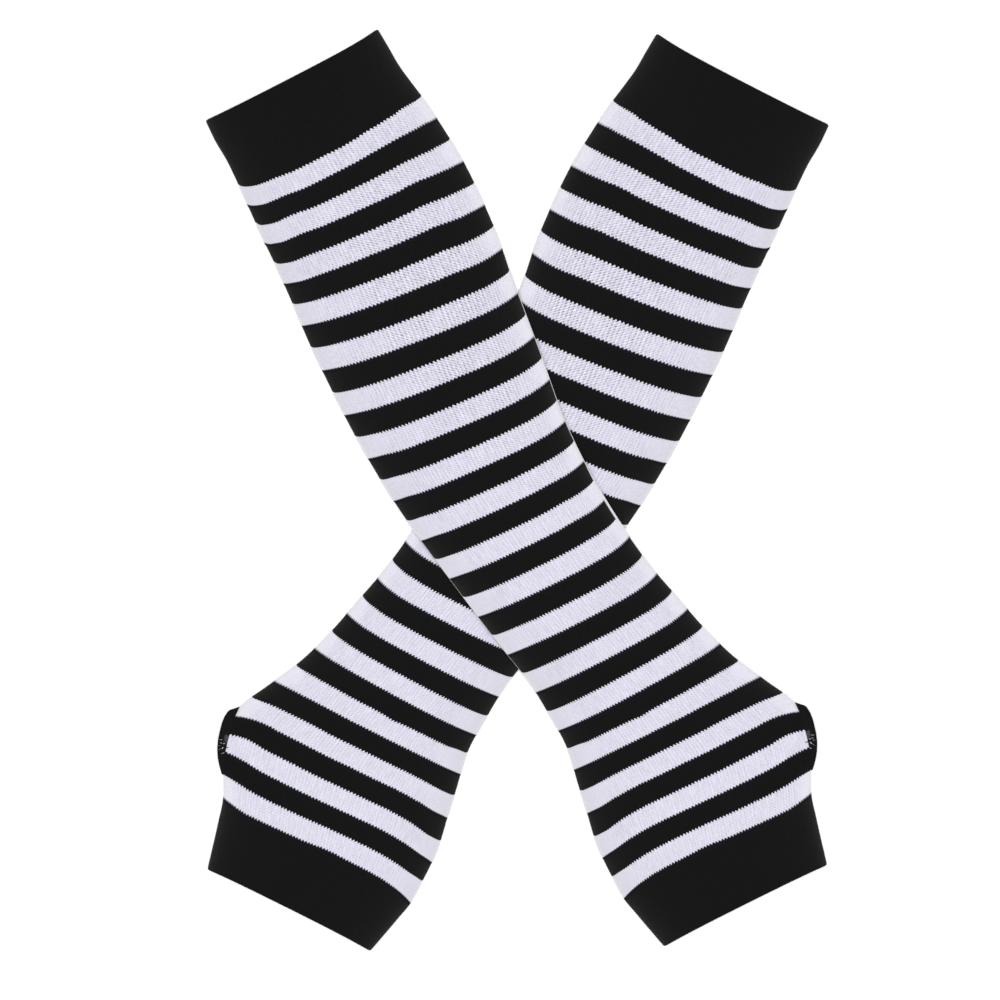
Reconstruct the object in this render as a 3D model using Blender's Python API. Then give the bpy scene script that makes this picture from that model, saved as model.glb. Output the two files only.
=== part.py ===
"""A pair of knitted, fingerless arm warmers, laid flat and crossed in an X.

Each warmer is one knitted tube, pressed flat: a turned elbow welt, the striped arm and hand,
a bound edging round the thumb hole and a firm hand cuff.  The over warmer lies across the
under one, which is its mirror image.  All of them lie on the plane z = 0.

A warmer has its own plan.  "Along" runs from the elbow edge to the finger edge, and "across"
from the little-finger fold, on its negative side, to the thumb fold.  A course is one knitted
row round the tube; courses are counted from the elbow edge.
"""

from collections import namedtuple
import math

import bmesh
import bpy
import numpy as np

MM = 0.001

# Where the two warmers lie, in millimetres and degrees.
TURN = 28.68            # each warmer's axis, turned from the pair's middle line
ELBOW_OUT = 80.9        # middle of an elbow edge, out from the middle line
ELBOW_UP = 148.8        # the same point, up from the centre of the pair
STAGGER = 1.44          # the under warmer lies this much lower than the over one

# The knitting, in courses.
WELT_COURSES = 15
FIRST_STRIPE = 30       # the striped knit's first white course
STRIPE_COURSES = 8
STRIPES = 35            # white and black in turn, with white first and last
CUFF_START = FIRST_STRIPE + STRIPES * STRIPE_COURSES
LAST_COURSE = 334
THUMB_HOLE = (275.5, 302.0)
LIFTED_STRIPES = range(6, 28)   # these cross the under warmer and take a row in the middle

# The walls, in millimetres.
WELT_WALL = 1.4         # turned double
ARM_WALL = 1.1
CUFF_WALL = 1.25
EDGING_WALL = 1.25
HOLLOW = 0.4            # the flat space between the two faces of a tube
SEAM = 0.3              # clearance between pieces that meet
FOLD_REACH = 2.0        # how far a side fold rounds in from the outline
NOSE = ((0.0, 0.4), (0.4, 0.15), (1.2, 0.0))   # in from a free edge, share of wall drawn in
MOUTH_GAPE = 0.6        # a mouth stands open this much more than the hollow
MOUTH_FADE = 12.0
THUMB_GAPE = 0.9        # the same for the thumb hole, at the middle of its edging
THUMB_FADE = 0.2        # as a share of the width

# The crossing, in millimetres.
RISE = 2 * ARM_WALL + HOLLOW + SEAM
APRON = 3.5             # the over warmer is fully lifted this far past the under one's edge
RAMP = 13.0             # and comes down over this length

# Half widths of the flat warmer.  Beside the thumb hole, "thumb" is the knit's cut border.
Section = namedtuple("Section", "along outer thumb")
OUTLINE = [
    Section(-1.5, -35.2, 35.0),
    Section(7.2, -36.1, 35.4),
    Section(15.1, -36.1, 35.6),
    Section(21.6, -36.4, 36.6),
    Section(28.8, -36.9, 37.6),
    Section(43.2, -38.0, 39.0),
    Section(57.6, -38.8, 39.4),
    Section(72.0, -40.1, 38.6),
    Section(86.4, -41.5, 37.3),
    Section(100.8, -42.3, 34.9),
    Section(129.6, -43.0, 30.6),
    Section(158.4, -41.5, 26.2),
    Section(172.8, -39.2, 25.5),
    Section(187.2, -37.2, 25.4),
    Section(201.6, -35.1, 26.9),
    Section(216.0, -32.9, 28.7),
    Section(230.4, -30.9, 31.7),
    Section(244.8, -30.2, 34.7),
    Section(259.2, -30.2, 39.4),
    Section(273.6, -33.1, 45.9),
    Section(284.4, -35.2, 50.1),
    Section(288.0, -36.1, 50.3),
    Section(295.2, -37.4, 48.8),
    Section(302.4, -38.0, 46.4),
    Section(309.6, -38.1, 43.0),
    Section(316.8, -37.9, 39.6),
    Section(324.0, -36.5, 37.4),
    Section(341.5, -32.9, 32.4),
]

# How the courses lie: place of the course at mid width, its slope across, and how far it
# drags along the warmer at each fold.
Lay = namedtuple("Lay", "course along lean outer_drag thumb_drag")
OUTER_DRAG_WIDTH = 0.15     # these fade over a share of the width
THUMB_DRAG_WIDTH = 0.12
COURSES = [
    Lay(0, 0.0, 0.9, -0.4, -1.4),
    Lay(30, 30.2, -1.0, -6.2, -1.0),
    Lay(38, 37.8, -0.3, -5.3, -0.4),
    Lay(46, 45.8, 1.4, -3.7, -0.3),
    Lay(62, 62.1, 3.2, -2.8, -0.3),
    Lay(78, 79.2, 4.9, -2.5, -2.2),
    Lay(94, 96.8, 4.9, -3.2, -2.9),
    Lay(110, 114.3, 4.6, -3.0, -3.5),
    Lay(126, 131.5, 3.7, -3.3, -3.4),
    Lay(158, 164.4, 2.4, -1.9, -3.1),
    Lay(190, 197.1, 1.4, -1.7, -3.4),
    Lay(222, 230.2, 0.8, -1.3, -3.1),
    Lay(246, 254.0, 0.1, -1.6, -1.4),
    Lay(262, 269.2, 0.8, -1.0, 0.1),
    Lay(278, 284.3, 1.2, 0.4, 2.2),
    Lay(286, 292.1, 2.0, 2.1, 0.0),
    Lay(294, 299.8, 2.9, 3.5, -2.1),
    Lay(310, 315.1, 4.1, 6.0, -3.3),
    Lay(334, 339.5, 1.3, 0.7, 0.5),
]

# The outer rim of the thumb edging, in the same plan as the outline.
Rim = namedtuple("Rim", "along rim")
EDGING_RIM = [
    Rim(285.9, 51.4),
    Rim(287.3, 52.9),
    Rim(289.4, 53.2),
    Rim(292.3, 52.9),
    Rim(295.2, 52.2),
    Rim(298.8, 51.0),
    Rim(302.4, 49.2),
    Rim(305.3, 47.1),
    Rim(308.2, 44.9),
]

# Places across a warmer, as shares of its width, where each face has a line of points, and
# the points round a fold, in degrees from the outline.
TOP_SHARES = (0.07, 0.16, 0.27, 0.38, 0.5, 0.62, 0.73, 0.84, 0.93)
BOTTOM_SHARES = (0.86, 0.68, 0.5, 0.32, 0.14)
FOLD_ANGLES = (90, 40, 0, -40, -90)
EDGING_POINTS = 20


def clear_scene():
    """Start from an empty scene."""
    for thing in list(bpy.data.objects):
        bpy.data.objects.remove(thing, do_unlink=True)


def smooth(table, column, at):
    """Read a column of a table between its rows, on a smooth curve through them."""
    places = np.array([row[0] for row in table], float)
    values = np.array([getattr(row, column) for row in table], float)
    slopes = np.gradient(values, places)
    at = np.clip(at, places[0], places[-1])
    i = np.clip(np.searchsorted(places, at) - 1, 0, len(places) - 2)
    step = places[i + 1] - places[i]
    u = (at - places[i]) / step
    start = (1 + 2 * u) * (1 - u) ** 2 * values[i] + u * (1 - u) ** 2 * step * slopes[i]
    end = u * u * (3 - 2 * u) * values[i + 1] + u * u * (u - 1) * step * slopes[i + 1]
    return start + end


def ease(share):
    """Rise softly from 0 to 1."""
    share = min(max(share, 0.0), 1.0)
    return share * share * (3 - 2 * share)


def course_point(course, share):
    """Plan place (across, along) of a course at a share of the width from the outer fold."""
    lean = smooth(COURSES, "lean", course) * (2 * share - 1)
    outer = math.exp(-share / OUTER_DRAG_WIDTH) - math.exp(-0.5 / OUTER_DRAG_WIDTH)
    thumb = math.exp((share - 1) / THUMB_DRAG_WIDTH) - math.exp(-0.5 / THUMB_DRAG_WIDTH)
    along = smooth(COURSES, "along", course) + lean
    along += smooth(COURSES, "outer_drag", course) * outer
    along += smooth(COURSES, "thumb_drag", course) * thumb
    outer_edge = smooth(OUTLINE, "outer", along)
    thumb_edge = smooth(OUTLINE, "thumb", along)
    return outer_edge + (thumb_edge - outer_edge) * share, along


def warmer_to_pair(across, along):
    """Turn a plan point of the over warmer into the pair's x and y."""
    turn = math.radians(TURN)
    x = -ELBOW_OUT + across * math.cos(turn) + along * math.sin(turn)
    y = ELBOW_UP + across * math.sin(turn) - along * math.cos(turn)
    return x, y


def pair_to_under(x, y):
    """Find a point of the pair in the under warmer's own plan."""
    turn = math.radians(TURN)
    x = ELBOW_OUT - x
    y = y + STAGGER - ELBOW_UP
    return x * math.cos(turn) + y * math.sin(turn), x * math.sin(turn) - y * math.cos(turn)


def lift(x, y):
    """How high the over warmer is carried by the under one at a point of the pair."""
    across, along = pair_to_under(x, y)
    outside = max(smooth(OUTLINE, "outer", along) - across, across - smooth(OUTLINE, "thumb", along))
    return RISE * ease(1 - (outside - APRON) / RAMP)


def place(across, along, height, is_over):
    """A point of one warmer in the pair, in metres."""
    x, y = warmer_to_pair(across, along)
    if is_over:
        return x * MM, y * MM, (height + lift(x, y)) * MM
    return -x * MM, (y - STAGGER) * MM, height * MM


def hollow(along, share):
    """Height of the space between the two faces of the tube."""
    end = min(max(along, 0.0), COURSES[-1].along - along)
    mouth = MOUTH_GAPE * math.exp(-(max(end, 0.0) / MOUTH_FADE) ** 2)
    start, finish = (course_point(course, 1.0)[1] for course in THUMB_HOLE)
    beside = math.sin(math.pi * min(max((along - start) / (finish - start), 0.0), 1.0))
    thumb = THUMB_GAPE * beside * math.exp(-((1 - share) / THUMB_FADE) ** 2)
    return HOLLOW + mouth + thumb


def section(course, wall, nose, cut):
    """Outer and inner points of the tube on one course, as (across, along, height).

    They run over the top face to the thumb side, round its fold, and back underneath.
    "nose" draws both surfaces towards the middle of the wall, for a rounded edge.
    "cut" ends the two faces at the border of the thumb hole instead of in a fold.
    """
    width = course_point(course, 1.0)[0] - course_point(course, 0.0)[0]
    outer, inner = [], []

    def face(share, side):
        across, along = course_point(course, share)
        gap = hollow(along, share)
        centre = wall + gap / 2
        outer.append((across, along, centre + side * (centre - nose)))
        inner.append((across, along, centre + side * (gap / 2 + nose)))

    def fold(edge):
        inward = 1 - 2 * edge
        gap = hollow(course_point(course, edge)[1], edge)
        centre = wall + gap / 2
        outer_size = (FOLD_REACH - nose, centre - nose)
        inner_size = (FOLD_REACH - wall + nose, gap / 2 + nose)
        for angle in FOLD_ANGLES[::-inward]:
            for line, (reach, half) in ((outer, outer_size), (inner, inner_size)):
                inset = FOLD_REACH - reach * math.cos(math.radians(angle))
                across, along = course_point(course, edge + inward * inset / width)
                line.append((across, along, centre + half * math.sin(math.radians(angle))))

    for share in TOP_SHARES:
        face(share, +1)
    if cut:
        inset_share = 1 - FOLD_REACH / width
        for share, side in ((inset_share, 1), (1, 1), (1, 0), (1, -1), (inset_share, -1)):
            face(share, side)
    else:
        fold(1)
    for share in BOTTOM_SHARES:
        face(share, -1)
    fold(0)
    return outer, inner


def build_wall(name, outer, inner, faces, slots, materials, is_over):
    """Make one solid of two matching surfaces, closed along every open edge between them."""
    count = len(outer)
    edges = [pair for face in faces for pair in zip(face, face[1:] + face[:1])]
    known = set(edges)
    open_edges = [(a, b) for a, b in edges if (b, a) not in known]
    solid = faces + [tuple(corner + count for corner in reversed(face)) for face in faces]
    solid += [(b, a, a + count, b + count) for a, b in open_edges]
    mesh = bpy.data.meshes.new(name)
    mesh.from_pydata([place(*point, is_over) for point in outer + inner], [], solid)
    for material in materials:
        mesh.materials.append(material)
    mesh.polygons.foreach_set("material_index", slots * 2 + [0] * len(open_edges))
    body = bmesh.new()
    body.from_mesh(mesh)
    unused = [vert for vert in body.verts if not vert.link_faces]
    bmesh.ops.delete(body, geom=unused, context="VERTS")
    bmesh.ops.recalc_face_normals(body, faces=body.faces)
    body.to_mesh(mesh)
    body.free()
    mesh.shade_smooth()
    mesh.set_sharp_from_angle(angle=math.radians(50))
    piece = bpy.data.objects.new(name, mesh)
    bpy.context.collection.objects.link(piece)
    return piece


def knitted_tube(name, rows, wall, materials, is_over, hole=None, noses=()):
    """Knit one open tube through its courses, with the thumb hole where it has one.

    "rows" are the courses that get a ring of points.  "noses" names the rows at a mouth.
    """
    stations = []
    for course in rows:
        if course in noses:
            inward = 1 if course == rows[0] else -1
            rounding = [(course + inward * inset, drawn * wall) for inset, drawn in NOSE]
            stations += rounding[::inward]
        else:
            stations.append((course, 0.0))

    outer, inner = [], []
    for course, nose in stations:
        cut = hole is not None and hole[0] < course < hole[1]
        outer_line, inner_line = section(course, wall, nose, cut)
        outer += outer_line
        inner += inner_line

    around = len(outer) // len(stations)
    fold_tip = len(TOP_SHARES) + FOLD_ANGLES.index(0)
    faces, slots = [], []
    for row in range(len(stations) - 1):
        middle = (stations[row][0] + stations[row + 1][0]) / 2
        holed = hole is not None and hole[0] < middle < hole[1]
        stripe = (middle - FIRST_STRIPE) // STRIPE_COURSES
        is_white = len(materials) > 1 and stripe >= 0 and stripe % 2 == 0
        for column in range(around):
            if holed and column in (fold_tip - 1, fold_tip):
                continue
            a = row * around + column
            b = row * around + (column + 1) % around
            faces.append((a, b, b + around, a + around))
            slots.append(int(is_white))
    return build_wall(name, outer, inner, faces, slots, materials, is_over)


def thumb_edging(name, material, is_over):
    """Bind the border of the thumb hole with a flat ring that stands out to its rim."""
    middle = (EDGING_RIM[0].along + EDGING_RIM[-1].along) / 2
    half_length = EDGING_RIM[-1].along - middle
    rim_lines = [(inset, drawn * EDGING_WALL) for inset, drawn in reversed(NOSE[:-1])]
    outer, inner = [], []
    for point in range(EDGING_POINTS):
        angle = 2 * math.pi * point / EDGING_POINTS
        blunt = math.copysign(math.sqrt(abs(math.sin(angle))), math.sin(angle))
        along = middle + half_length * math.cos(angle)
        inside_along = middle + (half_length - EDGING_WALL) * math.cos(angle)
        gap = hollow(along, 1.0)
        centre = EDGING_WALL + gap / 2
        for line, spot, half in ((outer, along, centre), (inner, inside_along, gap / 2)):
            drawn_in = -1 if line is outer else 1
            line.append((smooth(OUTLINE, "thumb", spot) + SEAM, spot, centre + half * blunt))
            for inset, nose in rim_lines:
                across = smooth(EDGING_RIM, "rim", spot) - inset
                line.append((across, spot, centre + (half + drawn_in * nose) * blunt))
    lines = 1 + len(rim_lines)
    faces = []
    for point in range(EDGING_POINTS):
        for step in range(lines - 1):
            a = point * lines + step
            b = (point + 1) % EDGING_POINTS * lines + step
            faces.append((a, b, b + 1, a + 1))
    return build_wall(name, outer, inner, faces, [0] * len(faces), [material], is_over)


def yarn(name, colour, roughness):
    """A plain knit finish."""
    material = bpy.data.materials.new(name)
    material.use_nodes = True
    shader = material.node_tree.nodes["Principled BSDF"]
    shader.inputs["Base Color"].default_value = (*colour, 1.0)
    shader.inputs["Roughness"].default_value = roughness
    shader.inputs["Metallic"].default_value = 0.0
    material.diffuse_color = (*colour, 1.0)
    return material


def warmer(side, is_over):
    """Build the pieces of one warmer: welt, arm, thumb edging and hand cuff."""
    black = (0.008, 0.008, 0.009)
    white = (0.76, 0.74, 0.82)
    welt_rows = [0, WELT_COURSES / 2, WELT_COURSES - SEAM / 2]
    knitted_tube(f"{side}_elbow_welt", welt_rows, WELT_WALL,
                 [yarn(f"{side}_welt_knit", black, 0.85)], is_over, noses=(0,))

    boundaries = [FIRST_STRIPE + STRIPE_COURSES * stripe for stripe in range(1, STRIPES)]
    halves = [FIRST_STRIPE + STRIPE_COURSES * (stripe + 0.5) for stripe in LIFTED_STRIPES]
    arm_rows = [WELT_COURSES + SEAM / 2, FIRST_STRIPE, CUFF_START - SEAM / 2, *boundaries]
    arm_rows += [THUMB_HOLE[0], *(halves if is_over else ())]
    striped = [yarn(f"{side}_arm_black", black, 0.85), yarn(f"{side}_arm_white", white, 0.8)]
    knitted_tube(f"{side}_arm_tube", sorted(arm_rows), ARM_WALL, striped, is_over, hole=THUMB_HOLE)

    thumb_edging(f"{side}_thumb_edging", yarn(f"{side}_edging_knit", black, 0.8), is_over)

    cuff_rows = [CUFF_START + SEAM / 2, (CUFF_START + LAST_COURSE) / 2, LAST_COURSE]
    knitted_tube(f"{side}_hand_cuff", cuff_rows, CUFF_WALL,
                 [yarn(f"{side}_cuff_knit", black, 0.85)], is_over, noses=(LAST_COURSE,))


clear_scene()
warmer("under", is_over=False)
warmer("over", is_over=True)
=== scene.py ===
"""Dress a pair of knitted, fingerless arm warmers, laid flat and crossed in an X.

Each warmer is one tube of fine striped knit, made from the elbow down: a turned elbow welt, the
striped arm and hand, a bound edging round the thumb hole, and a firm hand cuff.

A warmer has its own plan, in millimetres.  "Along" runs from the elbow edge to the finger edge,
and "across" from the little-finger fold, on its negative side, to the thumb fold.  A course is
one knitted row, counted from the elbow edge, and a wale is one column of stitches.
"""

import math
from collections import namedtuple

import bmesh
import bpy
import numpy as np
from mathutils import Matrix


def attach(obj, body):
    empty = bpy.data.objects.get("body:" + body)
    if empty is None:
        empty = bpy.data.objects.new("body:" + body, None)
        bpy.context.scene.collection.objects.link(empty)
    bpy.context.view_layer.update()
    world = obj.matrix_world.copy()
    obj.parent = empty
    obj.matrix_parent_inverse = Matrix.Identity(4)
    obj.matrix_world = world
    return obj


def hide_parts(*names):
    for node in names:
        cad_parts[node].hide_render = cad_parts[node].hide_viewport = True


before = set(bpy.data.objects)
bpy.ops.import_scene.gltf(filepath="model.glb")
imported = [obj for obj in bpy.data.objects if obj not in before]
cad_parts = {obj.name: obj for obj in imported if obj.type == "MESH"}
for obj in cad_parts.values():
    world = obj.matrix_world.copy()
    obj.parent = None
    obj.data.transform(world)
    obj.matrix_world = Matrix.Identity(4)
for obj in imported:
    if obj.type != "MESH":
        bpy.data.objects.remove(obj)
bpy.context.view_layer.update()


# ------------------------------------------------------------------------------- elbow welt
# The welt is the first fifteen courses, knitted double in black and turned in at the elbow
# edge.  The arm is knitted on from it, so its stitches run straight through the join.

MM = 0.001
WARMERS = ("under", "over")

TURN = math.radians(28.68)      # each warmer's axis, turned from the pair's middle line
ELBOW_OUT = 80.9                # middle of an elbow edge, out from the middle line
ELBOW_UP = 148.8                # the same point, up from the centre of the pair
STAGGER = 1.6                   # the under warmer lies this much lower than the over one
ASIDE = 0.11                    # and this much further to the left

FOLD_REACH = 2.0                # how far a side fold rounds in from the outline
HOLLOW = 0.4                    # the flat space between the two faces of a tube
WELT_WALL = 1.4                 # turned double
ARM_WALL = 1.1
SEAM = 0.3
RISE = 2 * ARM_WALL + HOLLOW + SEAM     # how high the over warmer is carried at the crossing

# Half widths of the flat warmer.  Beside the thumb hole, "thumb" is the knit's border.
Section = namedtuple("Section", "along outer thumb")
OUTLINE = [
    Section(-1.5, -35.5, 35.3),
    Section(7.2, -35.95, 35.6),
    Section(15.1, -35.7, 35.8),
    Section(21.6, -36.0, 36.65),
    Section(28.8, -36.5, 37.7),
    Section(43.2, -37.65, 39.0),
    Section(57.6, -38.5, 39.55),
    Section(72.0, -39.7, 38.85),
    Section(86.4, -41.15, 37.4),
    Section(100.8, -42.0, 34.85),
    Section(129.6, -42.7, 30.6),
    Section(158.4, -41.15, 26.35),
    Section(172.8, -39.2, 25.65),
    Section(187.2, -37.15, 25.85),
    Section(201.6, -35.1, 26.85),
    Section(216.0, -32.85, 28.7),
    Section(230.4, -30.45, 31.75),
    Section(244.8, -29.7, 34.9),
    Section(259.2, -29.7, 39.3),
    Section(273.6, -32.65, 45.85),
    Section(281.0, -34.1, 49.4),
    Section(284.4, -34.8, 50.55),
    Section(288.0, -35.65, 50.2),
    Section(295.2, -37.0, 48.8),
    Section(302.4, -37.6, 46.7),
    Section(309.6, -37.75, 43.55),
    Section(316.8, -37.6, 39.7),
    Section(324.0, -36.2, 37.5),
    Section(341.5, -32.55, 32.55),
]
FIRST_STRIPE = 30               # the first white course
STRIPE_COURSES = 8
CUFF_START = 310                # the striped knit ends with a white stripe here

# How the courses lie: place of the course at mid width, its slope across, and how far it
# drags along the warmer at each fold, over these shares of the width.
OUTER_DRAG_WIDTH = 0.15
THUMB_DRAG_WIDTH = 0.12
Lay = namedtuple("Lay", "course along lean outer_drag thumb_drag")
COURSES = [
    Lay(0, 0.2, 0.9, -0.5, -1.5),
    Lay(30, 30.2, -1.0, -6.2, -1.0),
    Lay(38, 37.8, -0.3, -5.3, -0.4),
    Lay(46, 45.8, 1.4, -3.7, -0.3),
    Lay(62, 62.1, 3.2, -2.8, -0.3),
    Lay(78, 79.2, 4.9, -2.5, -2.2),
    Lay(94, 96.8, 4.9, -3.2, -2.9),
    Lay(110, 114.3, 4.6, -3.0, -3.5),
    Lay(126, 131.5, 3.7, -3.3, -3.4),
    Lay(158, 164.4, 2.4, -1.9, -3.1),
    Lay(190, 197.1, 1.4, -1.7, -3.4),
    Lay(222, 230.2, 0.8, -1.3, -3.1),
    Lay(246, 254.0, 0.1, -1.6, -1.4),
    Lay(262, 269.2, 0.8, -1.0, 0.1),
    Lay(278, 284.3, 1.2, 0.4, 2.2),
    Lay(286, 292.1, 2.0, 2.1, 0.0),
    Lay(294, 299.8, 2.9, 3.5, -2.1),
    Lay(310, 315.1, 4.1, 6.0, -3.3),
    Lay(334, 339.75, 1.3, 0.7, 0.5),
]


def smooth(table, column, at):
    """Read a column of a table between its rows, on a smooth curve through them."""
    places = np.array([row[0] for row in table], float)
    values = np.array([getattr(row, column) for row in table], float)
    slopes = np.gradient(values, places)
    at = np.clip(at, places[0], places[-1])
    i = np.clip(np.searchsorted(places, at) - 1, 0, len(places) - 2)
    step = places[i + 1] - places[i]
    u = (at - places[i]) / step
    start = (1 + 2 * u) * (1 - u) ** 2 * values[i] + u * (1 - u) ** 2 * step * slopes[i]
    end = u * u * (3 - 2 * u) * values[i + 1] + u * u * (u - 1) * step * slopes[i + 1]
    return start + end


def ease(share):
    """Rise softly from 0 to 1."""
    share = np.clip(share, 0.0, 1.0)
    return share * share * (3 - 2 * share)


def course_point(course, share):
    """Plan place (across, along) of a course at a share of the width from the outer fold."""
    outer = np.exp(-share / OUTER_DRAG_WIDTH) - math.exp(-0.5 / OUTER_DRAG_WIDTH)
    thumb = np.exp((share - 1) / THUMB_DRAG_WIDTH) - math.exp(-0.5 / THUMB_DRAG_WIDTH)
    along = smooth(COURSES, "along", course) + smooth(COURSES, "lean", course) * (2 * share - 1)
    along = along + smooth(COURSES, "outer_drag", course) * outer
    along = along + smooth(COURSES, "thumb_drag", course) * thumb
    outer_edge = smooth(OUTLINE, "outer", along)
    thumb_edge = smooth(OUTLINE, "thumb", along)
    return outer_edge + (thumb_edge - outer_edge) * share, along


APRON = 3.5                     # it is fully lifted this far past the under one's edge
RAMP = 13.0                     # and comes down over this length


def lift(x, y):
    """How high the over warmer is carried by the under one at a point of the pair."""
    x = ELBOW_OUT - ASIDE - x
    y = y + STAGGER - ELBOW_UP
    across = x * math.cos(TURN) + y * math.sin(TURN)
    along = x * math.sin(TURN) - y * math.cos(TURN)
    outside = np.maximum(
        smooth(OUTLINE, "outer", along) - across,
        across - smooth(OUTLINE, "thumb", along),
    )
    return RISE * ease(1 - (outside - APRON) / RAMP)


def place(across, along, height, warmer):
    """Points of one warmer's plan, placed in the pair and turned into metres."""
    x = -ELBOW_OUT + across * math.cos(TURN) + along * math.sin(TURN)
    y = ELBOW_UP + across * math.sin(TURN) - along * math.cos(TURN)
    if warmer == "over":
        points = np.stack([x, y, height + lift(x, y)], axis=-1)
    else:
        points = np.stack([-x - ASIDE, y - STAGGER, height], axis=-1)
    return points * MM


THUMB_HOLE = (276.0, 302.0)     # first and last course of the thumb hole
THUMB_GAPE = 0.9                # the hole stands open this much more than the hollow
THUMB_FADE = 0.2                # and this far in, as a share of the width
MOUTH_GAPE = 0.6                # a mouth stands open this much more
MOUTH_FADE = 12.0               # and this far in


def hollow(along, share):
    """Height of the space between the two faces of the tube."""
    end = np.maximum(np.minimum(along, COURSES[-1].along - along), 0.0)
    mouth = MOUTH_GAPE * np.exp(-((end / MOUTH_FADE) ** 2))
    start, finish = (course_point(course, 1.0)[1] for course in THUMB_HOLE)
    beside = np.sin(math.pi * np.clip((along - start) / (finish - start), 0.0, 1.0))
    thumb = THUMB_GAPE * beside * np.exp(-(((1 - share) / THUMB_FADE) ** 2))
    return HOLLOW + mouth + thumb


# Soft troughs (negative) and ridges in the top face, each on a straight line of the plan.
Crease = namedtuple("Crease", "across along direction length width height")
CREASES = [
    Crease(-22.0, 44.0, 62.0, 34.0, 5.0, -0.16),
    Crease(20.0, 66.0, 105.0, 46.0, 6.5, 0.12),
    Crease(-8.0, 98.0, 78.0, 58.0, 7.5, -0.10),
    Crease(14.0, 139.0, 112.0, 36.0, 5.0, -0.15),
    Crease(-24.0, 168.0, 66.0, 40.0, 5.5, 0.13),
    Crease(2.0, 214.0, 95.0, 52.0, 6.0, -0.12),
    Crease(22.0, 247.0, 58.0, 30.0, 4.5, -0.17),
    Crease(-16.0, 268.0, 118.0, 33.0, 5.0, 0.11),
    Crease(30.0, 282.0, 40.0, 24.0, 4.0, 0.14),
    Crease(-6.0, 318.0, 84.0, 26.0, 4.5, -0.09),
]
WAVE_HEIGHT = 0.05


def unevenness(across, along):
    """Height of the soft creases and slow waves in the top face."""
    waves = np.sin(across / 9.0 + along / 31.0) * np.sin(along / 17.0 - across / 23.0)
    height = WAVE_HEIGHT * waves
    for crease in CREASES:
        turn = math.radians(crease.direction)
        across_from = across - crease.across
        along_from = along - crease.along
        on_line = across_from * math.cos(turn) + along_from * math.sin(turn)
        off_line = along_from * math.cos(turn) - across_from * math.sin(turn)
        ends = ease(1 - np.abs(2 * on_line / crease.length))
        height = height + crease.height * ends * np.exp(-((off_line / crease.width) ** 2))
    return height


def stops_round(fold_steps, top_steps, below_steps):
    """Stops round a tube: 0 to 1 rounds the outer fold from below, 1 to 2 crosses the top face,
    2 to 3 rounds the thumb fold and 3 to 4 comes back underneath."""
    steps = (fold_steps, top_steps, fold_steps, below_steps)
    return np.concatenate([start + np.arange(count) / count for start, count in enumerate(steps)])


OUTER_STOPS = stops_round(16, 64, 32)
INNER_STOPS = stops_round(8, 16, 8)
THUMB_TIP = 2.5                 # the stop at the tip of the thumb fold
HOLE_STOPS = (2.375, 2.625)     # the stops between which the tube is open at the hole
HOLE_EASE = 3.0                 # courses over which a fold opens into the hole's border
BLACK_TIGHTER = 0.3             # the black yarn knits tighter, and draws each fold in this far
OUTER_CROSSED = (164, 224)      # the courses of each fold where one warmer lies on the other
THUMB_CROSSED = (98, 192)


def between(course, first, last):
    """Whether a course lies between two others."""
    return (course > first) & (course < last)


def tightness(course, stops):
    """How far the black courses of the welt and the stripes draw a fold in."""
    half = STRIPE_COURSES / 2
    striped = np.clip(course, FIRST_STRIPE - half, CUFF_START - half)
    from_white = np.abs((striped - FIRST_STRIPE + half) % (4 * half) - 2 * half)
    drawn_in = BLACK_TIGHTER * ease((from_white - half + 1) / 2)
    beside_hole = between(course, THUMB_HOLE[0] - HOLE_EASE, THUMB_HOLE[1] + HOLE_EASE)
    held_out = np.where(
        np.abs(stops - THUMB_TIP) < 0.5,
        beside_hole | between(course, *THUMB_CROSSED),
        between(course, *OUTER_CROSSED),
    )
    return np.where(held_out, 0.0, drawn_in)


def round_the_tube(stops, width, reach):
    """For each stop its share of the width, its side (1 on the top face and -1 underneath),
    and how far round it lies: 0 at the outer fold, 1 at the thumb fold and 2 back again."""
    inset = FOLD_REACH / width
    outer_turn = math.pi * (stops - 0.5)
    thumb_turn = math.pi * (THUMB_TIP - stops)
    across_top = inset + (1 - 2 * inset) * (stops - 1)
    across_below = 1 - inset - (1 - 2 * inset) * (stops - 3)
    level = np.ones_like(across_top)
    parts = [stops < 1, stops < 2, stops < 3]
    share = np.select(
        parts,
        [
            (FOLD_REACH - reach * np.cos(outer_turn)) / width,
            across_top,
            1 - (FOLD_REACH - reach * np.cos(thumb_turn)) / width,
        ],
        across_below,
    )
    side = np.select(
        parts, [np.sin(outer_turn) * level, level, np.sin(thumb_turn) * level], -level
    )
    around = np.select(
        parts,
        [inset * (2 * stops - 1), across_top, 1 + inset * (2 * (stops - 2) - 1)],
        2 - across_below,
    )
    return share, side, around


def open_the_hole(course, stops, width, share, side):
    """Turn the thumb fold into the two flat borders of the hole."""
    from_end = np.minimum(course - THUMB_HOLE[0], THUMB_HOLE[1] - course)
    from_tip = np.abs(stops - THUMB_TIP)
    opened = np.where(from_tip < 0.5, ease(from_end / HOLE_EASE), 0.0)
    border = HOLE_STOPS[1] - THUMB_TIP
    to_border = np.clip((from_tip - border) / (0.5 - border), 0, 1)
    border_share = 1 - to_border * FOLD_REACH / width
    border_side = np.where(stops <= THUMB_TIP, 1.0, -1.0)
    return share + (border_share - share) * opened, side + (border_side - side) * opened


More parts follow.
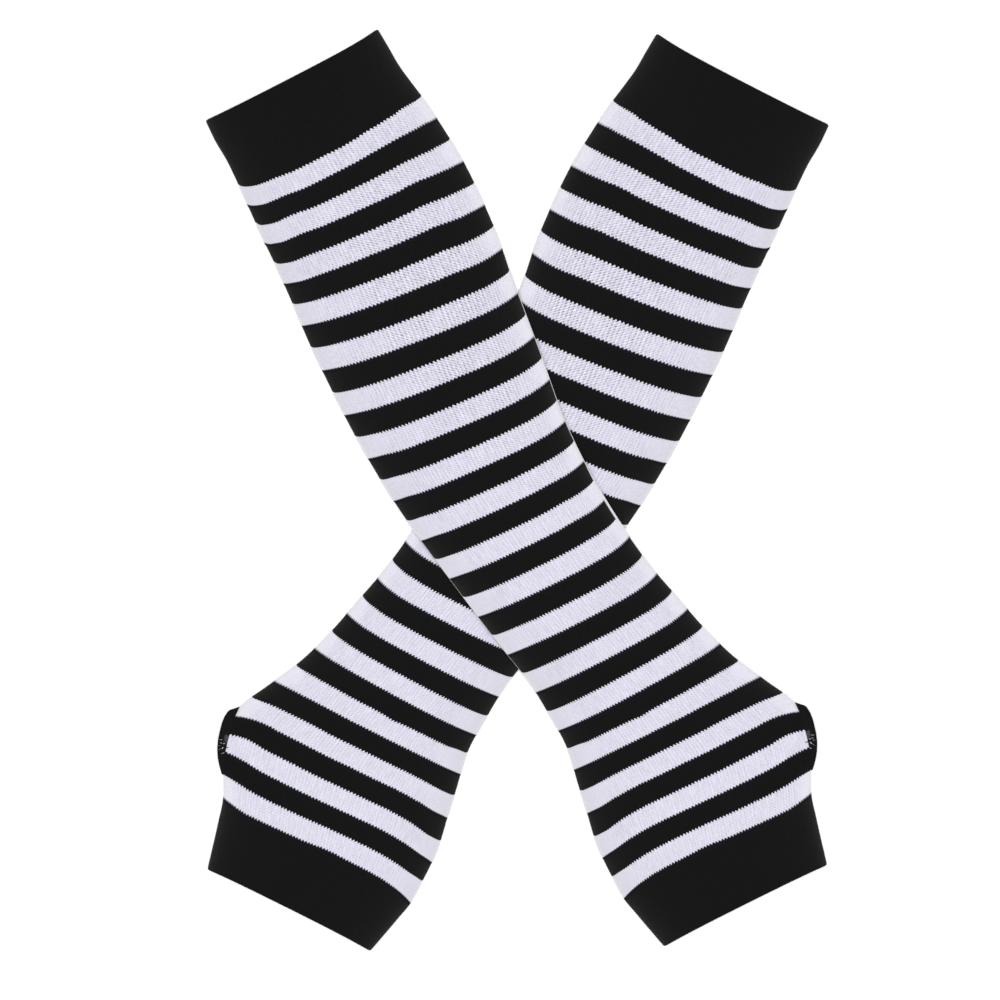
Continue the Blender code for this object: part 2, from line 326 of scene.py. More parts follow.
def surface(courses, drawn_in, stops, wall, is_outer, holed, warmer):
    """Points of the outer or the inner surface of a tube, one row for each course."""
    course = courses[:, None]
    rounded = drawn_in[:, None]
    wall = wall[:, None]
    width = course_point(course, 1.0)[0] - course_point(course, 0.0)[0]
    reach = FOLD_REACH - rounded if is_outer else FOLD_REACH - wall + rounded
    reach = reach - tightness(course, stops[None, :])
    share, side, _ = round_the_tube(stops[None, :], width, reach)
    if holed:
        share, side = open_the_hole(course, stops[None, :], width, share, side)
    across, along = course_point(course, share)
    gap = hollow(along, share)
    half = wall + gap / 2 - rounded if is_outer else gap / 2 + rounded
    upward = np.clip(side, 0, 1) ** 2
    height = wall + gap / 2 + half * side + unevenness(across, along) * upward
    return place(across, along, height, warmer)


# How many wales cross one face.  The hand is knitted closer and shows more of them, and they
# stand closer still towards the two folds, by these shares and over these widths.
OUTER_CLOSER_WIDTH = 0.2
THUMB_CLOSER_WIDTH = 0.13
Gauge = namedtuple("Gauge", "course wales outer_closer thumb_closer")
GAUGE = [
    Gauge(0, 49.5, 0.50, 0.65),
    Gauge(110, 49.4, 0.50, 0.65),
    Gauge(150, 48.3, 0.50, 0.65),
    Gauge(210, 51.2, 0.50, 0.65),
    Gauge(240, 53.4, 0.50, 0.60),
    Gauge(256, 59.5, 0.42, 0.35),
    Gauge(272, 65.6, 0.36, 0.20),
    Gauge(290, 66.3, 0.36, 0.20),
    Gauge(334, 62.0, 0.36, 0.20),
]

# Where handling has dragged the courses a little: the middle of each pull, as a course and a
# share of the width, how far it spreads, and by how many courses.
Pull = namedtuple("Pull", "course share courses_wide share_wide drag")
PULLS = [
    Pull(30, 0.55, 8, 0.09, -0.5),
    Pull(30, 0.89, 6, 0.05, 0.35),
    Pull(34, 0.06, 8, 0.05, -0.28),
    Pull(38, 0.89, 5, 0.05, -0.25),
    Pull(38, 0.98, 5, 0.04, -0.5),
    Pull(42, 0.19, 20, 0.06, 0.5),
    Pull(50, 0.0, 18, 0.015, 1.0),
    Pull(52, 0.76, 8, 0.07, 0.35),
    Pull(56, 0.085, 18, 0.035, -0.35),
    Pull(70, 0.12, 10, 0.12, -0.22),
    Pull(70, 0.73, 18, 0.08, 0.5),
    Pull(80, 0.6, 12, 0.05, 0.25),
    Pull(82, 0.88, 22, 0.08, -0.18),
    Pull(150, 0.08, 25, 0.04, 0.25),
    Pull(176, 0.78, 18, 0.08, 0.3),
    Pull(209, 0.1, 10, 0.15, 0.25),
    Pull(254, 0.05, 5, 0.05, 0.45),
    Pull(254, 0.42, 4, 0.05, -0.45),
    Pull(276, 0.22, 18, 0.1, 0.25),
    Pull(278, 0.5, 40, 3.0, -0.17),
    Pull(278, 0.6, 18, 0.1, -0.3),
    Pull(278, 0.85, 5, 0.04, 0.35),
    Pull(286, 0.07, 12, 0.04, -0.4),
    Pull(286, 0.25, 14, 0.12, 0.28),
    Pull(286, 0.91, 12, 0.05, 0.75),
    Pull(288, 1.0, 10, 0.02, -0.7),
    Pull(302, 0.02, 5, 0.04, 0.5),
    Pull(302, 1.0, 4, 0.025, -0.45),
    Pull(310, 0.45, 5, 0.07, 0.4),
    Pull(310, 0.88, 6, 0.05, -0.25),
]

LOWER_HALF = 0.3                # counts as this much further from a fold's tip


def wales_from_outer(course, share):
    """How many wales lie between the outer fold and a share of the width."""
    outer = OUTER_CLOSER_WIDTH * np.tanh(share / OUTER_CLOSER_WIDTH)
    thumb = THUMB_CLOSER_WIDTH * (1 - np.tanh((1 - share) / THUMB_CLOSER_WIDTH))
    closer = smooth(GAUGE, "outer_closer", course) * outer
    closer = closer + smooth(GAUGE, "thumb_closer", course) * thumb
    return smooth(GAUGE, "wales", course) * (share + closer)


def knit_maps(courses, stops):
    """Where each point lies in the knit: its wale and course, and how far it is, in
    millimetres, from the outer outline and from the thumb outline."""
    course = courses[:, None]
    width = course_point(course, 1.0)[0] - course_point(course, 0.0)[0]
    share, side, around = round_the_tube(stops[None, :], width, FOLD_REACH)
    one_face = wales_from_outer(course, 1.0)
    back = 2 * one_face - wales_from_outer(course, 2 - around)
    wale = np.where(around > 1, back, wales_from_outer(course, around))
    wale = wale - wales_from_outer(course, 0.5)
    dragged = course + 0 * share
    for pull in PULLS:
        spread = ((course - pull.course) / pull.courses_wide) ** 2
        spread = spread + ((share - pull.share) / pull.share_wide) ** 2
        dragged = dragged + pull.drag * np.exp(-spread)
    whole_round = 2 * one_face + 0 * share
    lower = np.where(side < 0, LOWER_HALF, 0.0)
    maps = (wale, dragged, share * width + lower, (1 - share) * width + lower, whole_round)
    return [values.ravel() for values in maps]


def quads(numbers, reverse, keep):
    """Faces of a grid of point numbers that closes on itself sideways."""
    beside = np.roll(numbers, -1, axis=1)
    corners = [numbers[:-1], beside[:-1], beside[1:], numbers[1:]]
    faces = np.stack(corners[::-1] if reverse else corners, axis=-1)
    return faces[keep].tolist()


def close_edge(outer_line, inner_line, inner_stops):
    """Faces between a fine outer edge and the coarse inner edge that faces it."""
    faces = []
    for step in range(len(inner_stops) - 1):
        first, last = inner_stops[step], inner_stops[step + 1]
        fine = outer_line[first:last + 1]
        faces.append([inner_line[step], *fine, inner_line[step + 1]])
    return faces


def close_hole(courses, rows, columns, outer_numbers, inner_numbers):
    """Faces that close the wall round the thumb hole: at its two borders and its two ends."""
    def found(values, wanted):
        return [int(np.flatnonzero(values == value)[0]) for value in wanted]

    borders = zip(found(OUTER_STOPS, HOLE_STOPS), found(INNER_STOPS, HOLE_STOPS))
    ends = zip(found(courses, THUMB_HOLE), found(courses[rows], THUMB_HOLE))
    first_row, last_row = found(courses[rows], THUMB_HOLE)
    first_column, last_column = found(INNER_STOPS, HOLE_STOPS)
    beside = slice(first_row, last_row + 1)
    across = slice(first_column, last_column + 1)
    faces = []
    for outer_border, inner_border in borders:
        outer_line = outer_numbers[:, outer_border].tolist()
        inner_line = inner_numbers[beside, inner_border].tolist()
        faces += close_edge(outer_line, inner_line, rows[beside])
    for outer_end, inner_end in ends:
        outer_line = outer_numbers[outer_end].tolist()
        inner_line = inner_numbers[inner_end, across].tolist()
        faces += close_edge(outer_line, inner_line, columns[across])
    return faces


def knit_tube(name, warmer, courses, drawn_in, walls, inner_courses, holed=False):
    """Build one knitted tube as a closed wall, with its place in the knit as UV maps."""
    courses = np.array(courses, float)
    drawn_in = np.array(drawn_in, float)
    walls = walls + 0 * courses
    columns = np.flatnonzero(np.isin(OUTER_STOPS, INNER_STOPS))
    rows = np.flatnonzero(np.isin(courses, inner_courses))
    outer = surface(courses, drawn_in, OUTER_STOPS, walls, True, holed, warmer)
    inner = surface(
        courses[rows], drawn_in[rows], INNER_STOPS, walls[rows], False, holed, warmer
    )

    outer_numbers = np.arange(outer.shape[0] * outer.shape[1]).reshape(outer.shape[:2])
    inner_numbers = np.arange(inner.shape[0] * inner.shape[1]).reshape(inner.shape[:2])
    inner_numbers = inner_numbers + outer_numbers.size

    def kept(row_courses, column_stops):
        middle = (row_courses[:-1] + row_courses[1:]) / 2
        in_rows = (middle > THUMB_HOLE[0]) & (middle < THUMB_HOLE[1])
        in_columns = (column_stops >= HOLE_STOPS[0]) & (column_stops < HOLE_STOPS[1])
        return ~(holed & in_rows[:, None] & in_columns[None, :])

    faces = quads(outer_numbers, False, kept(courses, OUTER_STOPS))
    faces += quads(inner_numbers, True, kept(courses[rows], INNER_STOPS))

    around = [*columns, len(OUTER_STOPS)]
    for end in (0, -1):
        outer_line = [*outer_numbers[end], outer_numbers[end][0]]
        inner_line = [*inner_numbers[end], inner_numbers[end][0]]
        faces += close_edge(outer_line, inner_line, around)
    if holed:
        faces += close_hole(courses, rows, columns, outer_numbers, inner_numbers)

    points = np.concatenate([outer.reshape(-1, 3), inner.reshape(-1, 3)])
    outer_maps = knit_maps(courses, OUTER_STOPS)
    inner_maps = knit_maps(courses[rows], INNER_STOPS)
    wale, course, from_outer, from_thumb, whole_round = (
        np.concatenate(pair) for pair in zip(outer_maps, inner_maps)
    )
    maps = {"knit_place": (wale, course), "fold_place": (from_outer, from_thumb)}
    return closed_mesh(name, points, faces, maps, whole_round)


def closed_mesh(name, points, faces, maps, whole_round):
    """Make an object of the faces, pointing out, with UV maps that run on round a ring."""
    mesh = bpy.data.meshes.new(name)
    mesh.from_pydata(points.tolist(), [], faces)
    mesh.attributes.new("number", "INT", "POINT").data.foreach_set("value", np.arange(len(points)))
    body = bmesh.new()
    body.from_mesh(mesh)
    unused = [vert for vert in body.verts if not vert.link_faces]
    bmesh.ops.delete(body, geom=unused, context="VERTS")
    bmesh.ops.recalc_face_normals(body, faces=body.faces)
    body.to_mesh(mesh)
    body.free()

    number_of = np.empty(len(mesh.vertices), np.int32)
    mesh.attributes["number"].data.foreach_get("value", number_of)
    mesh.attributes.remove(mesh.attributes["number"])
    corners = np.empty(len(mesh.loops), np.int32)
    mesh.loops.foreach_get("vertex_index", corners)
    corners = number_of[corners]
    starts = np.empty(len(mesh.polygons), np.int32)
    mesh.polygons.foreach_get("loop_start", starts)
    totals = np.empty(len(mesh.polygons), np.int32)
    mesh.polygons.foreach_get("loop_total", totals)
    once_round = np.broadcast_to(whole_round, len(points))[corners]
    for label, (u_of, v_of) in maps.items():
        u = u_of[corners]
        highest = np.repeat(np.maximum.reduceat(u, starts), totals)
        u = np.where(highest - u > once_round / 2, u + once_round, u)
        uv = mesh.uv_layers.new(name=label)
        pairs = np.stack([u, v_of[corners]], axis=-1)
        uv.uv.foreach_set("vector", pairs.astype(np.float32).ravel())

    mesh.shade_smooth()
    mesh.set_sharp_from_angle(angle=math.radians(60))
    piece = bpy.data.objects.new(name, mesh)
    bpy.context.collection.objects.link(piece)
    return piece


def rounded_mouth(edge_course, inward, wall):
    """Courses and draw-in that round off a mouth's edge, from the edge inward."""
    radius = wall / 2
    turns = np.radians([6, 26, 46, 66, 90])
    courses = edge_course + inward * radius * (1 - np.cos(turns))
    return courses.tolist(), (radius * (1 - np.sin(turns))).tolist()


class Value:
    """What a node gives, to be added, multiplied and compared as a number is."""

    def __init__(self, socket):
        self.socket = socket

    def __add__(self, other):
        return work_out("ADD", self, other)

    def __sub__(self, other):
        return work_out("SUBTRACT", self, other)

    def __rsub__(self, other):
        return work_out("SUBTRACT", other, self)

    def __mul__(self, other):
        return work_out("MULTIPLY", self, other)

    def __truediv__(self, other):
        return work_out("DIVIDE", self, other)

    def __gt__(self, other):
        return work_out("GREATER_THAN", self, other)

    def __lt__(self, other):
        return work_out("LESS_THAN", self, other)


def feed(value, socket):
    """Feed a socket from another node, or set it to a plain value."""
    if isinstance(value, Value):
        socket.id_data.links.new(value.socket, socket)
    else:
        socket.default_value = value


def new_node(kind, *values):
    """Add a node to the tree that the values come from."""
    tree = next(value.socket.id_data for value in values if isinstance(value, Value))
    return tree.nodes.new(kind)


def work_out(operation, *values):
    """Add a math node and give its result."""
    node = new_node("ShaderNodeMath", *values)
    node.operation = operation
    for value, socket in zip(values, node.inputs):
        feed(value, socket)
    return Value(node.outputs["Value"])


def fade(value, start, end, start_gives=0.0, end_gives=1.0):
    """Run softly from one value to another while the input goes from start to end."""
    node = new_node("ShaderNodeMapRange", value)
    node.interpolation_type = "SMOOTHSTEP"
    given = (value, start, end, start_gives, end_gives)
    for item, label in zip(given, ("Value", "From Min", "From Max", "To Min", "To Max")):
        feed(item, node.inputs[label])
    return Value(node.outputs["Result"])


def fade_out(value, start, end):
    """Run softly from 1 to 0 while the input goes from start to end."""
    return fade(value, start, end, 1.0, 0.0)


def spot(first, second):
    """Join two values into a place for a texture."""
    node = new_node("ShaderNodeCombineXYZ", first, second)
    feed(first, node.inputs["X"])
    feed(second, node.inputs["Y"])
    return Value(node.outputs["Vector"])


def noise(at, scale, detail=1.0):
    """Soft random values over a place."""
    node = new_node("ShaderNodeTexNoise", at)
    node.noise_dimensions = "2D"
    feed(at, node.inputs["Vector"])
    feed(scale, node.inputs["Scale"])
    feed(detail, node.inputs["Detail"])
    return Value(node.outputs["Fac"])


def mix_colours(share, first, second, blend="MIX"):
    """Mix two colours by a share."""
    node = new_node("ShaderNodeMix", share, first, second)
    node.data_type = "RGBA"
    node.blend_type = blend
    # This node's sockets share their names, so its colour sockets go by number.
    for item, number in ((share, 0), (first, 6), (second, 7)):
        feed(item, node.inputs[number])
    return Value(node.outputs[2])


def shaded(colour, shade):
    """A colour made lighter or darker by a value."""
    node = new_node("ShaderNodeCombineColor", shade)
    for socket in node.inputs:
        feed(shade, socket)
    return mix_colours(1.0, colour, Value(node.outputs["Color"]), "MULTIPLY")


def new_group(name, inputs):
    """Start a shader node group of plain values, and give it with its inputs."""
    group = bpy.data.node_groups.new(name, "ShaderNodeTree")
    for label, value in inputs.items():
        socket = group.interface.new_socket(label, in_out="INPUT", socket_type="NodeSocketFloat")
        socket.default_value = value
    sockets = group.nodes.new("NodeGroupInput").outputs
    return group, [Value(sockets[label]) for label in inputs]


def give_out(group, results):
    """End a node group with its named results."""
    for label in results:
        group.interface.new_socket(label, in_out="OUTPUT", socket_type="NodeSocketFloat")
    node = group.nodes.new("NodeGroupOutput")
    for label, value in results.items():
        feed(value, node.inputs[label])
    return group


def use_group(group, **values):
    """Place a node group in a material with its own values, and give its results by name."""
    node = new_node("ShaderNodeGroup", *values.values())
    node.node_tree = group
    for label, value in values.items():
        feed(value, node.inputs[label.replace("_", " ")])
    return {socket.name: Value(socket) for socket in node.outputs}


LOOP_TIP = 0.6                  # where in its wale a loop reaches furthest to the hand
LOOP_SWING = 0.66               # how far it swings along the warmer, in courses
LOOP_STRAY = 0.35               # how unevenly the loops of a course stand, in courses
LOOP_WANDER = 0.36              # how unevenly the wales run, in wales
LEG_HEIGHT = 0.7                # how high a loop's legs stand, where its strand stands 1
STITCH_LEAN = 0.5               # wales that a stitch leans over for each course

# The gaps between the loops: where in its wale and course each lies, and how far it reaches.
Gap = namedtuple("Gap", "wale course wide high")
PINHOLE = Gap(0.49, 0.3, 0.19, 0.37)
SLIT = Gap(0.88, 0.8, 0.19, 0.25)


def make_stitch_group():
    """Plain knit: how the loops swing along each wale, and the pinholes between them."""
    group, (wale, course, standing) = new_group(
        "knit stitches", {"Wale": 0.0, "Course": 0.0, "Standing": 1.0}
    )
    wale = wale + (noise(spot(wale, course), scale=0.7) - 0.5) * LOOP_WANDER

    in_wale = work_out("FRACT", wale)
    rising = in_wale / LOOP_TIP
    falling = (1.0 - in_wale) / (1.0 - LOOP_TIP)
    leg = fade(work_out("MINIMUM", rising, falling), 0.0, 1.0)
    stray = (noise(spot(wale, course * 0.1), scale=0.8) - 0.5) * LOOP_STRAY
    swing = (leg - 0.5) * LOOP_SWING + stray
    loop_course = course - swing * standing
    off_strand = work_out("FRACT", loop_course) * 2.0 - 1.0
    strand = 1.0 - off_strand * off_strand

    def depth_of(gap):
        off_course = work_out("FRACT", course + (0.5 - gap.course)) - 0.5
        off_wale = work_out("FRACT", wale + (0.5 - gap.wale)) - 0.5
        across = (off_wale - off_course * STITCH_LEAN) / gap.wide
        along = off_course / gap.high
        return fade_out(across * across + along * along, 0.1, 1.4) * standing

    stitch = spot(work_out("FLOOR", wale), work_out("FLOOR", course + 0.5))
    tone = new_node("ShaderNodeTexWhiteNoise", stitch)
    tone.noise_dimensions = "2D"
    feed(stitch, tone.inputs["Vector"])
    return give_out(group, {
        "Loop Course": loop_course,
        "Relief": (leg * LEG_HEIGHT + strand) * standing,
        "Pinhole": depth_of(PINHOLE),
        "Slit": depth_of(SLIT),
        "Tone": Value(tone.outputs["Value"]),
    })


# How the loops are pressed flat beside a fold: the distance at which they start to stand up,
# the least at which they stand fully, how much that strays, and how far the pressed ones stand.
Press = namedtuple("Press", "start end strays least")
OUTER_PRESS = Press(2.5, 3.0, 10.0, 0.1)
THUMB_PRESS = Press(1.2, 1.0, 6.0, 0.15)
OUTER_FOLD = 10.0               # how far in from a fold each change of colour reaches
THUMB_FOLD = 7.0
NEAR_FOLD = 6.0
AT_FOLD = 1.2
FOLD_TIP = 0.47
PAST_HOLE = 20.0                # beside the hole the thumb fold counts as this much further off
OUTER_TIP = 0.1                 # width of the pale tip of a fold that lies on the other warmer
THUMB_TIPS = (0.2, 0.8)         # the same at the thumb fold, before and after it widens
TIP_WIDENS = (162, 184)         # between these courses


def make_fold_group():
    """How a point stands to the two pressed side folds, a little unevenly along them."""
    group, (from_outer, from_thumb, course) = new_group(
        "pressed folds", {"From Outer": 10.0, "From Thumb": 10.0, "Course": 0.0}
    )
    uneven = noise(spot(course * 0.13, 0.0), scale=1.0) * 1.4 + 0.3
    hole_start = fade(course, THUMB_HOLE[0] + 1, THUMB_HOLE[0] + 5)
    hole_end = fade_out(course, THUMB_HOLE[1] - 4, THUMB_HOLE[1] + 1)
    beside_hole = hole_start * hole_end

    def standing(distance, press):
        end = uneven * press.strays + press.end
        return fade(distance, press.start, end, press.least, 1.0)

    def falls_off(distance, reach):
        return work_out("EXPONENT", distance / -reach)

    def raised_tip(distance, width, first, last):
        there = fade(course, first - 2, first) * fade_out(course, last, last + 2)
        return there * fade_out(distance / width, 0.75, 1.3)

    at_thumb = work_out("MAXIMUM", standing(from_thumb, THUMB_PRESS), beside_hole)
    off_outer = from_outer / OUTER_FOLD
    to_fold = work_out("MINIMUM", from_outer, beside_hole * PAST_HOLE + from_thumb)
    # The tip is half as deep at the thumb fold, which is pressed sharper.
    to_tip = work_out("MINIMUM", from_outer, beside_hole * PAST_HOLE + from_thumb * 2.0)
    thumb_width = fade(course, *TIP_WIDENS, *THUMB_TIPS)
    outer_tip = raised_tip(from_outer, OUTER_TIP, *OUTER_CROSSED)
    thumb_tip = raised_tip(from_thumb, thumb_width, *THUMB_CROSSED)
    return give_out(group, {
        "Standing": work_out("MINIMUM", standing(from_outer, OUTER_PRESS), at_thumb),
        "Outer Fold": work_out("EXPONENT", off_outer * off_outer * -1.0),
        "Thumb Fold": falls_off(from_thumb, THUMB_FOLD) * (1.0 - beside_hole),
        "Near Fold": falls_off(to_fold, NEAR_FOLD),
        "At Fold": falls_off(to_fold, AT_FOLD),
        "Fold Tip": falls_off(to_tip, FOLD_TIP),
        "Raised Tip": work_out("MAXIMUM", outer_tip, thumb_tip),
    })


FIBRE_STRETCH = 0.6             # fibres lie along the stitches, and streaks along the wales,
STREAK_STRETCH = 0.14           # with courses counted at these shares
STREAK_FINENESS = 1.5
MOTTLE_FINENESS = 0.13


def make_fuzz_group():
    """Short fibres standing off the yarn, streaks along the wales, and a slow mottle."""
    group, (wale, course, fineness) = new_group(
        "yarn fuzz", {"Wale": 0.0, "Course": 0.0, "Fineness": 1.6}
    )
    along_stitch = spot(wale - course * STITCH_LEAN, course * FIBRE_STRETCH)
    along_wale = spot(wale, course * STREAK_STRETCH)
    return give_out(group, {
        "Fibres": noise(along_stitch, fineness, detail=2.0),
        "Streak": noise(along_wale, STREAK_FINENESS),
        "Mottle": noise(spot(wale, course), MOTTLE_FINENESS, detail=2.0),
    })


STITCHES = make_stitch_group()
FOLDS = make_fold_group()
FUZZ = make_fuzz_group()

# Black yarn, and black with a painted sheen towards a fold, where the rounded fold catches the
# light.
BLACK_YARN = (0.0055, 0.0057, 0.0056, 1.0)
BLACK_PAINTED_SHEEN_NEAR_FOLD = (0.0100, 0.0102, 0.0097, 1.0)
BLACK_PAINTED_SHEEN_AT_FOLD = (0.0230, 0.0232, 0.0220, 1.0)
BLACK_SHEEN = (0.85, 0.90, 0.85, 1.0)
BLACK_FIBRES = 0.5              # how much the fibres vary the black
# Painted shade in the pinholes of the black knit.
BLACK_PINHOLE_SHADE = 0.15           # how much darker its pinholes are
FIBRE_HEIGHT = 0.5              # of the fibres, where a strand stands 1
STITCH_DEPTH = 0.00009          # height of a loop's strand, in metres


def start_material(name, roughness, sheen_tint, shine=0.05):
    """Start a dull yarn finish with a faint sheen, and give it with its shader."""
    material = bpy.data.materials.new(name)
    material.use_nodes = True
    shader = material.node_tree.nodes["Principled BSDF"]
    shader.inputs["Roughness"].default_value = roughness
    shader.inputs["Specular IOR Level"].default_value = shine
    shader.inputs["Sheen Weight"].default_value = shine
    shader.inputs["Sheen Roughness"].default_value = 0.5
    shader.inputs["Sheen Tint"].default_value = sheen_tint
    return material, shader


def finish_yarn(shader, colour, height, depth):
    """Give the shader its colour and a fine relief."""
    bump = new_node("ShaderNodeBump", height)
    bump.inputs["Strength"].default_value = 1.0
    bump.inputs["Distance"].default_value = depth
    feed(height, bump.inputs["Height"])
    feed(Value(bump.outputs["Normal"]), shader.inputs["Normal"])
    feed(colour, shader.inputs["Base Color"])


def read_map(material, name):
    """The two values that a UV map gives for the point that is shaded."""
    uv_node = material.node_tree.nodes.new("ShaderNodeUVMap")
    uv_node.uv_map = name
    both = Value(uv_node.outputs["UV"])
    parts = new_node("ShaderNodeSeparateXYZ", both)
    feed(both, parts.inputs["Vector"])
    return Value(parts.outputs["X"]), Value(parts.outputs["Y"])


Knit = namedtuple("Knit", "course from_outer from_thumb folds stitches fuzz")


def place_knit(material):
    """Place what every knitted finish starts from: the maps, folds, stitches and fuzz."""
    wale, course = read_map(material, "knit_place")
    from_outer, from_thumb = read_map(material, "fold_place")
    folds = use_group(FOLDS, From_Outer=from_outer, From_Thumb=from_thumb, Course=course)
    stitches = use_group(STITCHES, Wale=wale, Course=course, Standing=folds["Standing"])
    fuzz = use_group(FUZZ, Wale=wale, Course=course)
    return Knit(course, from_outer, from_thumb, folds, stitches, fuzz)


def black_knit(knit):
    """Colour of the black yarn: deep in the field, and greyer with a painted sheen towards a
    pressed fold, where the rounded fold catches the light.
    """
    # Painted sheen: greyer near a fold, and most at the fold itself.
    colour = mix_colours(knit.folds["Near Fold"], BLACK_YARN, BLACK_PAINTED_SHEEN_NEAR_FOLD)
    colour = mix_colours(knit.folds["At Fold"], colour, BLACK_PAINTED_SHEEN_AT_FOLD)
    shade = (knit.fuzz["Fibres"] - 0.5) * BLACK_FIBRES + 1.0
    return shaded(colour, shade - knit.stitches["Pinhole"] * BLACK_PINHOLE_SHADE)


def plain_black_knit(name, depth):
    """The finish of a plain black knitted band."""
    material, shader = start_material(name, 0.92, sheen_tint=BLACK_SHEEN)
    knit = place_knit(material)
    height = knit.stitches["Relief"] + knit.fuzz["Fibres"] * FIBRE_HEIGHT
    finish_yarn(shader, black_knit(knit), height, depth)
    return material


WELT_COURSES = 15
welt_knit = plain_black_knit("welt knit", STITCH_DEPTH * 0.6)
edge_courses, edge_drawn = rounded_mouth(0, 1, WELT_WALL)
welt_courses = edge_courses + [1.5, *range(2, WELT_COURSES + 1)]
welt_drawn = edge_drawn + [0.0] * (len(welt_courses) - len(edge_drawn))
for warmer in WARMERS:
    welt = knit_tube(
        f"{warmer}_welt", warmer, welt_courses, welt_drawn, WELT_WALL,
        [edge_courses[0], edge_courses[-1], 8, WELT_COURSES],
    )
    welt.data.materials.append(welt_knit)
    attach(welt, "root")
    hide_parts(f"{warmer}_elbow_welt")


# ------------------------------------------------------------------------ striped arm and hand
# One seamless tube of plain knit in black and white acrylic yarn, eight courses to a stripe.
# It is knitted on from the welt and down to the cuff, with a cut in the thumb fold.

CUFF_WALL = 1.25
WALL_EASE = 4.0                 # courses over which the wall thickens to a band's
WHITE_YARN = (0.659, 0.646, 0.750, 1.0)
# Painted shade: white darker towards the outer fold, and a little towards the thumb fold, for how
# the light falls across the width.
WHITE_SHADED_AT_OUTER_FOLD = (0.560, 0.549, 0.618, 1.0)
WHITE_SHADED_AT_THUMB_FOLD = (0.646, 0.636, 0.707, 1.0)
WARM_AT_FOLD = (1.0, 1.0, 0.93, 1.0)
# Painted shade: the navy tint of the black just below a white stripe.
NAVY_PAINTED_SHADE = (0.0062, 0.0068, 0.0092, 1.0)
STRIPED_SHEEN = (0.88, 0.90, 0.90, 1.0)

# Where a stripe changes, in courses from its edge.  White starts sharply, because its first
# loops cover the black; it ends over a wider run, most of all at the thumb fold.
WHITE_STARTS = (0.2, 0.5)
FIRST_WHITE_ENDS = (0.95, 1.1)
NAVY_FADES = (0.3, 2.0)
END_BLUR = 0.26                 # half the run over which white ends
END_BLUR_AT_FOLD = 0.35         # and how much wider it is at the tip of the thumb fold
END_CALMER = 0.12               # how much less of the loops' swing shows where white ends


def make_stripe_group():
    """Which loops are white, and where black starts below a white stripe."""
    group, (course, loop_course, blur, early) = new_group(
        "stripes", {"Course": 0.0, "Loop Course": 0.0, "Blur": 0.0, "Early": 0.0}
    )
    half = STRIPE_COURSES / 2
    from_start = loop_course - (FIRST_STRIPE - half)
    from_middle = work_out("FLOORED_MODULO", from_start, 4 * half) - 2 * half
    on = fade(from_middle + early, *(edge - half for edge in WHITE_STARTS))
    soft = blur * END_BLUR_AT_FOLD + END_BLUR
    calmer = from_middle + (course - loop_course) * END_CALMER
    off = fade_out(calmer, half - soft, soft + half)
    striped = (loop_course > FIRST_STRIPE - half) * (loop_course < CUFF_START + half)
    first = fade_out(from_middle, *(edge - half for edge in FIRST_WHITE_ENDS))
    below = fade_out(from_middle, *(edge + half for edge in NAVY_FADES))
    return give_out(group, {
        "White": on * off * striped,
        "First White": first * on,
        "Below White": below * (from_middle > 0.0) * striped,
    })


STRIPES = make_stripe_group()

# The first white loops reach up this much further where a fold is pressed, in courses.
EARLY_NEAR_FOLD = 0.12
EARLY_AT_FOLD = 0.25
EARLY_AT_TIP = 0.6

# How wide the stitches stand open.  The upper arm is stretched open, more so away from the
# firm welt, and the hand is knitted closer.  Each runs from one place and value to another.
Opening = namedtuple("Opening", "start end start_gives end_gives")
ALONG_ARM = Opening(86, 195, 1.15, 0.22)
AWAY_FROM_WELT = Opening(28, 80, 0.62, 1.0)
AWAY_FROM_OUTER = Opening(5, 45, 0.4, 1.05)
AWAY_FROM_THUMB = Opening(2, 17, 0.25, 1.0)

# Painted shade and light of the white knit: shade in the pinholes and slits and on the rows
# between them, light on loops that stand open and at a fold's tip.  A stripe's first slits also
# show the black yarn behind them.
PINHOLE_SHADE = 0.32            # how dark an open pinhole shows at least
PINHOLE_VARIES = 0.32           # and how much darker some are
SLIT_SHARE = 0.4                # of a pinhole's darkness
FIRST_SLITS = 0.5               # how dark the slits of a stripe's first loops are
LOOP_SHADE = 1.008              # how light a loop is in close knit
OPEN_LOOP_PAINTED_LIGHT = 0.03               # how much lighter loops are that stand open
ROW_SHADE = 0.03                # and how much darker the rows between them
FOLD_TIP_PAINTED_LIGHT = 0.5                 # how much lighter the tip of a fold is
CLOSE_FIBRES = 0.12             # how much the fibres vary the white, in close knit
OPEN_FIBRES = 0.32              # and how much more in open knit
STREAK_SHADE = 0.26             # how much the streaks along the wales vary it
MOTTLE_SHADE = 0.05             # and the slow mottle
PINHOLE_DEPTH = 0.8             # where a strand stands 1
BLACK_RELIEF = 0.6              # how raised black loops are, as a share of white ones


def openness(knit):
    """How wide the stitches stand open."""
    return (
        fade(knit.course, *ALONG_ARM)
        * fade(knit.course, *AWAY_FROM_WELT)
        * fade(knit.from_outer, *AWAY_FROM_OUTER)
        * fade(knit.from_thumb, *AWAY_FROM_THUMB)
        * (knit.fuzz["Mottle"] + 0.5)
    )


